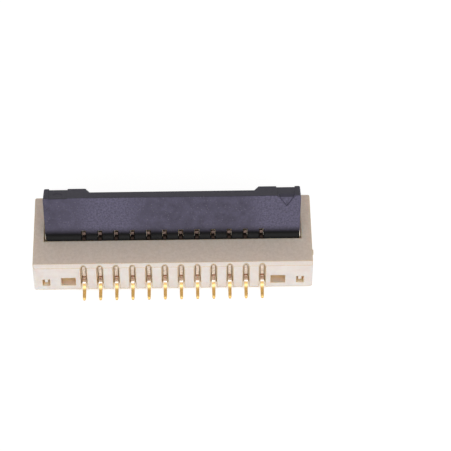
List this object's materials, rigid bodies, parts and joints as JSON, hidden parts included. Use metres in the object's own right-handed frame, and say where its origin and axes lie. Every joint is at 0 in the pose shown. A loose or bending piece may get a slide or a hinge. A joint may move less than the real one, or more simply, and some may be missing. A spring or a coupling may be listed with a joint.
{
  "type": "flat flexible cable connector",
  "caption": "Right-angle board connector for flat flexible cable, with a front flip actuator that locks the cable on blanked contacts.",
  "frame": {"origin": "middle of the housing's seat on the board: centre of the housing's length and depth, at board level", "axes": "+X along the row of contacts towards the end with the first-contact mark, +Y out of the cable mouth (solder tails towards -Y), +Z away from the board"},
  "size_m": [0.0173, 0.0063, 0.005],
  "materials": {
    "housing_plastic": "moulded ivory liquid-crystal polymer, matt",
    "gold_contact": "phosphor bronze, gold plated, satin",
    "tin_fitting": "brass, matt tin plated",
    "actuator_plastic": "moulded black glass-filled nylon, satin"
  },
  "bodies": {
    "base": {"housing": "housing_plastic", "contact_01": "gold_contact", "contact_02": "gold_contact", "contact_03": "gold_contact", "contact_04": "gold_contact", "contact_05": "gold_contact", "contact_06": "gold_contact", "contact_07": "gold_contact", "contact_08": "gold_contact", "contact_09": "gold_contact", "contact_10": "gold_contact", "contact_11": "gold_contact", "contact_12": "gold_contact", "fitting_left": "tin_fitting", "fitting_right": "tin_fitting"},
    "actuator": {"actuator": "actuator_plastic"}
  },
  "joints": [
    {"name": "actuator_hinge", "type": "hinge", "parent": "base", "child": "actuator", "pos_m": [0, -0.00025, 0.00185], "axis": [1, 0, 0], "range_deg": [-66.5, 31.5]}
  ]
}
